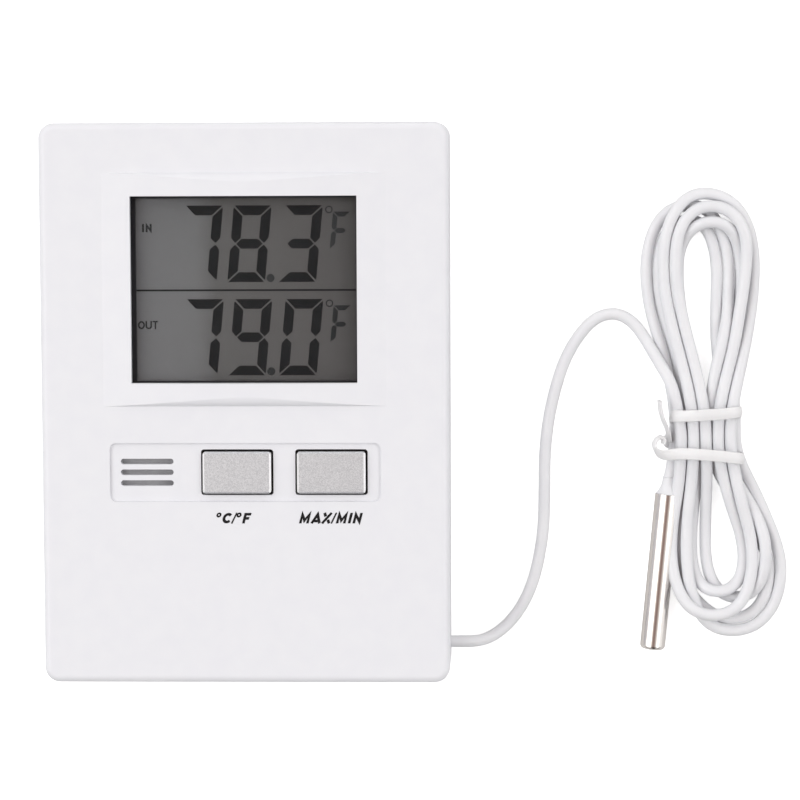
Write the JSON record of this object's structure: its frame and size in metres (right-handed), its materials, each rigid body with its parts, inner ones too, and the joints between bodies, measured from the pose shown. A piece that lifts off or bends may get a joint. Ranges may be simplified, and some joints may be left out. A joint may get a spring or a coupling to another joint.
{
  "type": "maximum minimum thermometer",
  "caption": "Flat white digital maximum minimum thermometer with an arched display bezel, two push buttons, a fold-out stand and a wired metal probe on a tied hank of cord.",
  "frame": {"origin": "middle of the body's back face, on the surface that the body lies on", "axes": "+Z out of the display, +Y to the display's top, +X to its right"},
  "size_m": [0.147, 0.11, 0.0212],
  "materials": {
    "case_white": "satin moulded plastic",
    "button_silver": "fine speckled silver paint",
    "window_clear": "clear gloss",
    "holder_black": "matt",
    "polariser_film": "smooth film",
    "display_glass": "clear gloss",
    "reflector_foil": "satin foil",
    "contact_rubber": "matt",
    "dome_rubber": "matt silicone",
    "board_green": "solder mask",
    "epoxy_black": "satin epoxy",
    "crystal_can": "satin",
    "component_brown": "matt ceramic",
    "cell_jacket": "satin printed jacket, no marks",
    "screen_felt": "thin white felt",
    "contact_nickel": "nickel plate",
    "lead_red": "satin",
    "lead_black": "satin",
    "cord_white": "soft satin",
    "tie_white": "satin",
    "screw_steel": "zinc plate",
    "probe_nickel": "polished nickel plate"
  },
  "bodies": {
    "case": {"front_cover": "case_white", "rear_cover": "case_white", "display_window": "window_clear", "lcd_holder": "holder_black", "lcd_front_polariser": "polariser_film", "lcd_front_glass": "display_glass", "lcd_rear_glass": "display_glass", "lcd_reflector": "reflector_foil", "zebra_strip": "contact_rubber", "circuit_board": "board_green", "chip_blob": "epoxy_black", "crystal": "crystal_can", "board_components": "component_brown", "room_sensor": "epoxy_black", "vent_screen": "screen_felt", "dome_unit": "dome_rubber", "dome_memory": "dome_rubber", "battery_cell": "cell_jacket", "battery_contact_positive": "contact_nickel", "battery_contact_negative": "contact_nickel", "battery_spring": "contact_nickel", "red_lead": "lead_red", "black_lead": "lead_black", "sensor_lead": "cord_white", "sensor_cores": "lead_black", "cord_clamp": "case_white", "clamp_screws": "screw_steel", "case_screws": "screw_steel", "board_screws": "screw_steel", "sensor_cord": "cord_white", "cord_hank": "cord_white", "sensor_cord_tail": "cord_white", "twist_tie": "tie_white", "probe_boot": "cord_white", "probe_tube": "probe_nickel", "probe_thermistor": "epoxy_black"},
    "unit_button": {"button_unit": "button_silver", "carbon_pill_unit": "contact_rubber"},
    "memory_button": {"button_memory": "button_silver", "carbon_pill_memory": "contact_rubber"},
    "stand": {"stand_leg": "case_white"},
    "door": {"battery_door": "case_white"}
  },
  "joints": [
    {"name": "unit_press", "type": "slide", "parent": "case", "child": "unit_button", "axis": [0, 0, -1], "range_m": [0, 0.0008], "stiffness_N_per_m": 400, "springref_m": -0.0004, "deforming": ["dome_unit"]},
    {"name": "memory_press", "type": "slide", "parent": "case", "child": "memory_button", "axis": [0, 0, -1], "range_m": [0, 0.0008], "stiffness_N_per_m": 400, "springref_m": -0.0004, "deforming": ["dome_memory"]},
    {"name": "stand_hinge", "type": "hinge", "parent": "case", "child": "stand", "pos_m": [0, 0.0245, 0.0017], "axis": [1, 0, 0], "range_deg": [0, 60]},
    {"name": "door_slide", "type": "slide", "parent": "case", "child": "door", "axis": [0, -1, 0], "range_m": [0, 0.02]}
  ]
}
